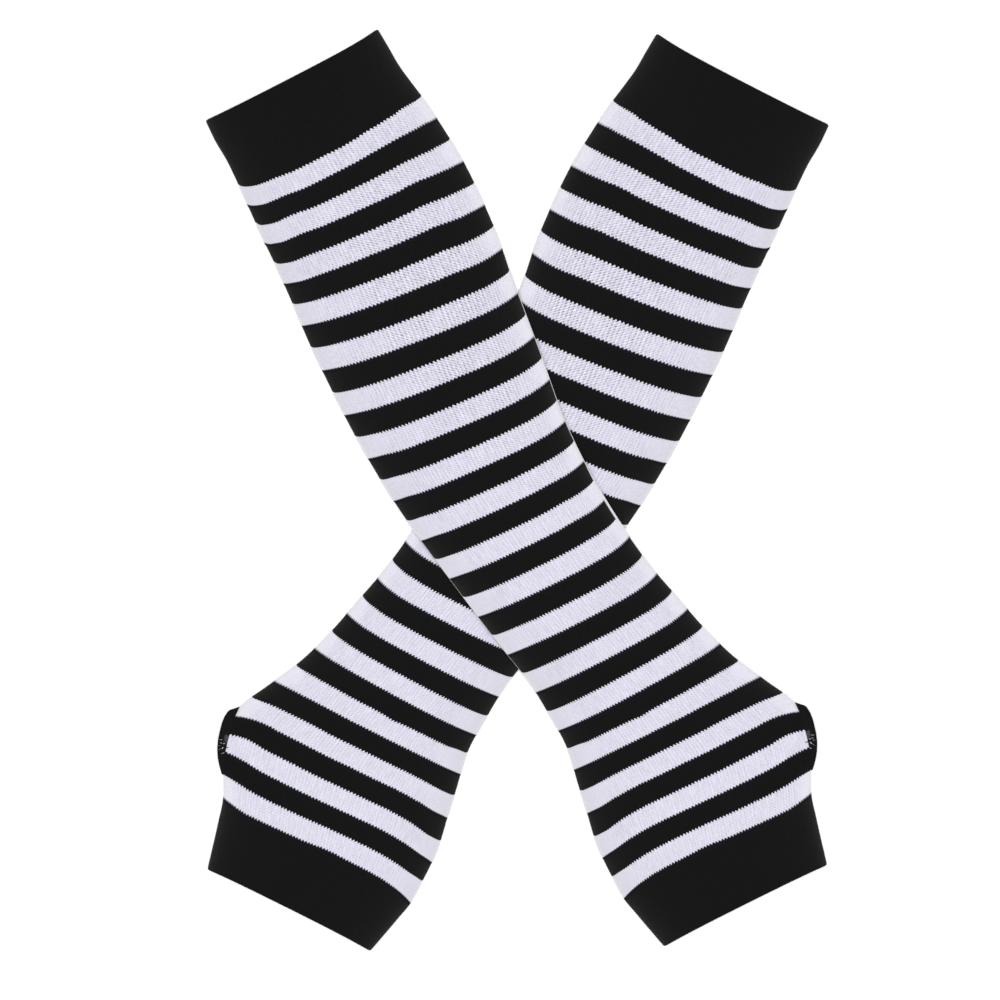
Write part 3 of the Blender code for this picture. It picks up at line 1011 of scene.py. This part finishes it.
def white_knit(knit, first_white):
    """Colour of the white yarn, darker with painted shade in the gaps between its loops."""
    folds, stitches, fuzz = knit.folds, knit.stitches, knit.fuzz
    # Painted shade towards the folds, deeper at the outer one, for how the light falls across the
    # width.
    colour = mix_colours(folds["Outer Fold"], WHITE_YARN, WHITE_SHADED_AT_OUTER_FOLD)
    colour = mix_colours(folds["Thumb Fold"], colour, WHITE_SHADED_AT_THUMB_FOLD)
    colour = mix_colours(folds["At Fold"], colour, WARM_AT_FOLD, "MULTIPLY")

    opened = openness(knit)
    pinhole = opened * (stitches["Tone"] * PINHOLE_VARIES + PINHOLE_SHADE)
    slit = pinhole * SLIT_SHARE + first_white * FIRST_SLITS
    # Painted light on loops that stand open, and painted shade in the gaps between them.
    shade = opened * OPEN_LOOP_PAINTED_LIGHT + LOOP_SHADE
    shade = shade - (stitches["Pinhole"] * pinhole + stitches["Slit"] * slit)
    # Painted light at a fold's tip, and painted shade on the rows between the pinholes.
    shade = shade + folds["Fold Tip"] * FOLD_TIP_PAINTED_LIGHT
    row = work_out("COSINE", (knit.course - PINHOLE.course) * (2 * math.pi)) - 1.0
    shade = shade + row * opened * ROW_SHADE
    shade = shade + (fuzz["Fibres"] - 0.5) * (opened * OPEN_FIBRES + CLOSE_FIBRES)
    shade = shade + (fuzz["Streak"] - 0.5) * (folds["Standing"] * STREAK_SHADE)
    shade = shade + (fuzz["Mottle"] - 0.5) * MOTTLE_SHADE
    return shaded(colour, shade)


def striped_knit(name):
    """The finish of the striped knit, which the first loops of the cuff share."""
    material, shader = start_material(name, 0.9, sheen_tint=STRIPED_SHEEN)
    knit = place_knit(material)
    folds, stitches = knit.folds, knit.stitches
    early = folds["Near Fold"] * EARLY_NEAR_FOLD + folds["At Fold"] * EARLY_AT_FOLD
    early = early + folds["Fold Tip"] * EARLY_AT_TIP
    stripes = use_group(
        STRIPES,
        Course=knit.course,
        Loop_Course=stitches["Loop Course"],
        Blur=folds["Thumb Fold"],
        Early=early,
    )

    white = white_knit(knit, stripes["First White"])
    # Painted shade: the black just below a white stripe takes a navy tint, the blue-grey shading
    # at the stripe's edge.
    black = mix_colours(stripes["Below White"], black_knit(knit), NAVY_PAINTED_SHADE)
    # Where a fold is carried over the other warmer, its tip shows as a pale line.
    pale = work_out("MAXIMUM", stripes["White"], folds["Raised Tip"])
    height = stitches["Relief"] + knit.fuzz["Fibres"] * FIBRE_HEIGHT
    height = height - stitches["Pinhole"] * PINHOLE_DEPTH
    height = height * (stripes["White"] * (1 - BLACK_RELIEF) + BLACK_RELIEF)
    finish_yarn(shader, mix_colours(pale, black, white), height, STITCH_DEPTH)
    return material


arm_knit = striped_knit("striped knit")
arm_courses = np.arange(WELT_COURSES, CUFF_START + 1, dtype=float)
arm_walls = (
    ARM_WALL
    + (WELT_WALL - ARM_WALL) * ease(1 - (arm_courses - WELT_COURSES) / WALL_EASE)
    + (CUFF_WALL - ARM_WALL) * ease(1 - (CUFF_START - arm_courses) / WALL_EASE)
)
arm_inner = [WELT_COURSES, 19, *range(24, 304, 8), *THUMB_HOLE, 306, CUFF_START]
arms = {}
for warmer in WARMERS:
    arm = knit_tube(
        f"{warmer}_arm", warmer, arm_courses, 0 * arm_courses, arm_walls, arm_inner, holed=True
    )
    arm.data.materials.append(arm_knit)
    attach(arm, "root")
    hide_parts(f"{warmer}_arm_tube")
    arms[warmer] = arm


# --------------------------------------------------------------------------------- hand cuff
# The cuff is twenty-four courses of closer black knit with a plain turned edge at the
# fingers.  It is knitted on, so the last white loops stand in its first courses.

LAST_COURSE = 334
cuff_knit = striped_knit("cuff knit")
edge_courses, edge_drawn = rounded_mouth(LAST_COURSE, -1, CUFF_WALL)
cuff_courses = [*range(CUFF_START, LAST_COURSE - 1)] + edge_courses[::-1]
cuff_drawn = [0.0] * (len(cuff_courses) - len(edge_drawn)) + edge_drawn[::-1]
for warmer in WARMERS:
    cuff = knit_tube(
        f"{warmer}_cuff", warmer, cuff_courses, cuff_drawn, CUFF_WALL,
        [CUFF_START, 316, 324, edge_courses[-1], edge_courses[0]],
    )
    cuff.data.materials.append(cuff_knit)
    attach(cuff, "root")
    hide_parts(f"{warmer}_hand_cuff")


# ------------------------------------------------------------------------------ thumb edging
# The cut in the thumb fold is bound with a narrow black band, overlocked on.  The band laps
# the knit's raw border and stands out to a soft rolled rim, and a few cut ends of the white
# yarn lie across it.

EDGING_WALL = 1.25
EDGING_LAP = 0.15               # how far the band lies over the knit
EDGING_POINTS = 128
EDGING_RIBS = 40
RIB_HEIGHT = 0.05
BAND_COURSES = 5.0              # knitted across the band
Rim = namedtuple("Rim", "along rim")
EDGING_RIM = [
    Rim(284.65, 50.7),
    Rim(285.9, 51.75),
    Rim(287.3, 53.05),
    Rim(289.4, 53.5),
    Rim(292.3, 53.3),
    Rim(295.2, 52.6),
    Rim(298.8, 51.5),
    Rim(302.4, 49.8),
    Rim(305.3, 47.85),
    Rim(308.9, 44.55),
]
# The band's profile, from the lap to the rim and back inside: share of the way out, and share
# of the wall's thickness out from its inner face.
Profile = namedtuple("Profile", "out thick")
BAND = [
    Profile(0.0, 0.45), Profile(0.03, 0.85), Profile(0.09, 1.0), Profile(0.2, 1.0),
    Profile(0.35, 1.0), Profile(0.5, 1.0), Profile(0.65, 1.0), Profile(0.78, 1.04),
    Profile(0.88, 1.06), Profile(0.95, 0.94), Profile(0.99, 0.72), Profile(1.0, 0.5),
    Profile(0.99, 0.28), Profile(0.95, 0.06), Profile(0.8, 0.0), Profile(0.5, 0.0),
    Profile(0.2, 0.0), Profile(0.03, 0.1),
]


def thumb_edging(name, warmer):
    """Build the flattened ring of edging round one thumb hole."""
    out = np.array([point.out for point in BAND])[None, :]
    thick = np.array([point.thick for point in BAND])[None, :]
    turn = 2 * math.pi * np.arange(EDGING_POINTS)[:, None] / EDGING_POINTS
    blunt = np.sign(np.sin(turn)) * np.sqrt(np.abs(np.sin(turn)))
    middle = (EDGING_RIM[0].along + EDGING_RIM[-1].along) / 2
    half_length = EDGING_RIM[-1].along - middle
    along = middle + (half_length - EDGING_WALL * (1 - thick)) * np.cos(turn)
    border = smooth(OUTLINE, "thumb", along) - EDGING_LAP
    rim = smooth(EDGING_RIM, "rim", along)
    across = border + (rim - border) * out
    gap = hollow(along, 1.0)
    centre = EDGING_WALL + gap / 2
    rib = RIB_HEIGHT * np.cos(EDGING_RIBS * turn) * (thick > 0.9)
    height = centre + (gap / 2 + EDGING_WALL * thick + rib) * blunt
    height = np.maximum(height, 0.0)    # the table holds the band up
    numbers = np.arange(along.size).reshape(along.shape)
    numbers = np.concatenate([numbers, numbers[:1]])
    faces = quads(numbers, False, np.ones((EDGING_POINTS, len(BAND)), bool))
    points = place(across, along, height, warmer).reshape(-1, 3)
    around = np.repeat(np.arange(EDGING_POINTS), len(BAND)) / EDGING_POINTS * EDGING_RIBS
    outward = np.tile(out.ravel(), EDGING_POINTS)
    maps = {
        "edging_place": (around, outward),
        "border_place": ((across - border).ravel(), along.ravel()),
    }
    return closed_mesh(name, points, faces, maps, EDGING_RIBS)


BINDING_BLACK = (0.0066, 0.0067, 0.0068, 1.0)
# Painted shade: the band's black deepens towards its rolled rim.
RIM_SHADED_BLACK = (0.0020, 0.0020, 0.0022, 1.0)
SHOWING_THROUGH = (0.0560, 0.0545, 0.0590, 1.0)
WHITE_BEHIND = (295.2, 298.8)   # where along the warmer white loops show through the band
BEHIND_ENDS = (1.2, 2.0)        # and how far out from the knit's border
RIM_DARKENS = (0.80, 0.97)      # shares of the way out to the rim
BINDING_FIBRES = 0.6            # how much the fibres vary the band's black


def binding_knit(name):
    """The finish of the bound edging: close overlock stitches, white loops behind them, and
    painted shade towards the rolled rim.
    """
    material, shader = start_material(name, 0.9, sheen_tint=BLACK_SHEEN)
    around, outward = read_map(material, "edging_place")
    from_border, along = read_map(material, "border_place")
    course = outward * BAND_COURSES
    stitches = use_group(STITCHES, Wale=around, Course=course, Standing=1.0)
    fuzz = use_group(FUZZ, Wale=around, Course=course)
    behind = (
        fade(along, WHITE_BEHIND[0], WHITE_BEHIND[0] + 0.8)
        * fade_out(along, WHITE_BEHIND[1] - 1.2, WHITE_BEHIND[1])
        * fade_out(from_border, *BEHIND_ENDS)
        * fade(fuzz["Fibres"], 0.3, 0.6, 0.6, 1.0)
    )
    # Painted shade towards the rolled rim.
    colour = mix_colours(fade(outward, *RIM_DARKENS), BINDING_BLACK, RIM_SHADED_BLACK)
    colour = mix_colours(behind, colour, SHOWING_THROUGH)
    colour = shaded(colour, (fuzz["Fibres"] - 0.5) * BINDING_FIBRES + 1.0)
    height = stitches["Relief"] + fuzz["Fibres"] * FIBRE_HEIGHT
    finish_yarn(shader, colour, height, STITCH_DEPTH * 0.7)
    return material


edging_knit = binding_knit("edging knit")
for warmer in WARMERS:
    edging = thumb_edging(f"{warmer}_edging", warmer)
    edging.data.materials.append(edging_knit)
    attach(edging, "root")
    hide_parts(f"{warmer}_thumb_edging")
    below = [arms["under"]] if warmer == "over" else []

# Loose ends of yarn: where each starts and stops on the plan, and its thickness.
End = namedtuple("End", "across along to_across to_along thick")
LOOSE_ENDS = {
    ("over", "white"): [
        End(49.82, 297.42, 50.96, 298.04, 0.16),
        End(48.48, 298.28, 49.24, 298.83, 0.24),
        End(49.43, 298.48, 50.24, 298.87, 0.18),
        End(48.40, 299.47, 48.72, 300.54, 0.34),
        End(47.17, 301.13, 47.76, 301.90, 0.20),
        End(49.60, 299.30, 50.30, 299.90, 0.10),
        End(48.90, 300.60, 49.30, 301.50, 0.10),
    ],
    ("under", "white"): [
        End(50.16, 297.72, 51.13, 298.25, 0.15),
        End(49.65, 298.80, 50.41, 299.22, 0.17),
        End(48.66, 298.51, 49.38, 298.91, 0.26),
        End(48.62, 299.93, 48.88, 300.76, 0.32),
        End(47.30, 301.46, 48.20, 302.36, 0.17),
        End(50.00, 299.90, 50.60, 300.50, 0.09),
        End(49.20, 300.90, 49.70, 301.70, 0.10),
    ],
    ("over", "black"): [End(46.74, 298.77, 47.92, 299.08, 0.28)],
    ("under", "black"): [End(47.02, 299.12, 48.22, 300.00, 0.28)],
}
END_STEPS = 8
END_SIDES = 6
END_BOW = 0.12                  # how far an end arches off the band
END_BEND = 0.08                 # how far it bends sideways, as a share of its length
PLY_DEPTH = 0.00003             # of the grooves between its plies, in metres
LOOSE_SHEEN = (0.90, 0.90, 0.90, 1.0)
# Each yarn's colour in the light, and its colour with painted shade deep between the plies.
YARN_COLOURS = {                # in the light, and deep between the plies
    "white": ((0.66, 0.65, 0.72, 1.0), (0.40, 0.39, 0.44, 1.0)),
    "black": ((0.012, 0.012, 0.013, 1.0), (0.004, 0.004, 0.004, 1.0)),
}


def yarn_ends(name, warmer, ends):
    """Build short, tapered ends of yarn that lie on the band."""
    points, faces = [], []
    steps = np.linspace(0, 1, END_STEPS)[:, None]
    turn = 2 * math.pi * np.arange(END_SIDES)[None, :] / END_SIDES
    for end in ends:
        run_across = end.to_across - end.across
        run_along = end.to_along - end.along
        length = math.hypot(run_across, run_along)
        radius = end.thick / 2 * np.sqrt(np.maximum(1 - (2 * steps - 1) ** 4, 0.02))
        bend = END_BEND * length * np.sin(math.pi * steps)
        sideways = radius * np.cos(turn) + bend
        across = end.across + run_across * steps - sideways * run_along / length
        along = end.along + run_along * steps + sideways * run_across / length
        laid = 2 * EDGING_WALL + hollow(along, 1.0) + end.thick / 4
        height = laid + END_BOW * np.sin(math.pi * steps) + radius * np.sin(turn)
        first = len(points)
        points += place(across, along, height, warmer).reshape(-1, 3).tolist()
        numbers = first + np.arange(END_STEPS * END_SIDES).reshape(END_STEPS, END_SIDES)
        faces += quads(numbers, False, np.ones((END_STEPS - 1, END_SIDES), bool))
        faces += [numbers[0].tolist(), numbers[-1][::-1].tolist()]
    count = len(points) // (END_STEPS * END_SIDES)
    twist = np.tile(np.arange(END_SIDES), END_STEPS * count).astype(float)
    run = np.tile(np.repeat(np.arange(END_STEPS), END_SIDES), count).astype(float)
    return closed_mesh(name, np.array(points), faces, {"yarn_place": (twist, run)}, END_SIDES)


def loose_yarn(name, colour, ply_shade_colour):
    """The finish of a loose yarn end: twisted plies with fibres standing off."""
    material, shader = start_material(name, 0.9, sheen_tint=LOOSE_SHEEN, shine=0.1)
    twist, run = read_map(material, "yarn_place")
    ply = work_out("SINE", twist * 2.1 + run)
    fibres = use_group(FUZZ, Wale=twist, Course=run)["Fibres"]
    # Painted shade in the grooves between the plies, varied by the fibres.
    colour = mix_colours(ply * 0.2 + fibres, ply_shade_colour, colour)
    finish_yarn(shader, colour, ply + fibres, PLY_DEPTH)
    return material


yarn_finishes = {
    colour_name: loose_yarn(f"loose {colour_name} yarn", *colours)
    for colour_name, colours in YARN_COLOURS.items()
}
for warmer in WARMERS:
    for colour_name, finish in yarn_finishes.items():
        ends = LOOSE_ENDS[warmer, colour_name]
        loose = yarn_ends(f"{warmer}_{colour_name}_ends", warmer, ends)
        loose.data.materials.append(finish)
        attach(loose, "root")


# -------------------------------------------------------------------- table, light and camera
# A plain, softly lit white table under a broad soft light from straight above, where the
# camera looks down through it.

CAMERA_HEIGHT = 2000.0
AIM = (-6.27, -3.75)
CLOTH_LEVEL = 2.5
TABLE_RADIUS = 8.0              # in metres, as the values below
TABLE_DROP = 0.0001             # keeps the table clear of the cloth's underside
LIGHT_HEIGHT = 2.4
LIGHT_SIZE = 1.8

table_mesh = bpy.data.meshes.new("table")
table_shape = bmesh.new()
bmesh.ops.create_circle(table_shape, cap_ends=True, radius=TABLE_RADIUS, segments=96)
table_shape.to_mesh(table_mesh)
table_shape.free()
table = bpy.data.objects.new("table", table_mesh)
table.location.z = -TABLE_DROP
bpy.context.collection.objects.link(table)
table_paint = bpy.data.materials.new("table paint")
table_paint.use_nodes = True
paint = table_paint.node_tree.nodes["Principled BSDF"]
paint.inputs["Base Color"].default_value = (0.93, 0.93, 0.93, 1.0)
paint.inputs["Roughness"].default_value = 0.7
paint.inputs["Specular IOR Level"].default_value = 0.2
paint.inputs["Emission Color"].default_value = (1.0, 1.0, 1.0, 1.0)
paint.inputs["Emission Strength"].default_value = 0.2
table_mesh.materials.append(table_paint)

world = bpy.data.worlds.new("studio")
world.use_nodes = True
sky = world.node_tree.nodes["Background"]
sky.inputs["Color"].default_value = (1.0, 1.0, 1.0, 1.0)
sky.inputs["Strength"].default_value = 0.45
bpy.context.scene.world = world

lamp = bpy.data.lights.new("overhead light", "AREA")
lamp.shape = "SQUARE"
lamp.size = LIGHT_SIZE
lamp.energy = 53.0
overhead = bpy.data.objects.new("overhead light", lamp)
overhead.location = (0.0, 0.0, LIGHT_HEIGHT)
overhead.visible_camera = False
bpy.context.collection.objects.link(overhead)

lens = bpy.data.cameras.new("camera")
lens.lens = 200.0
lens.sensor_width = 36.0
lens.clip_start = 0.01
camera = bpy.data.objects.new("camera", lens)
camera.location = (AIM[0] * MM, AIM[1] * MM, (CAMERA_HEIGHT + CLOTH_LEVEL) * MM)
bpy.context.collection.objects.link(camera)
bpy.context.scene.camera = camera
bpy.context.scene.view_settings.view_transform = "Standard"
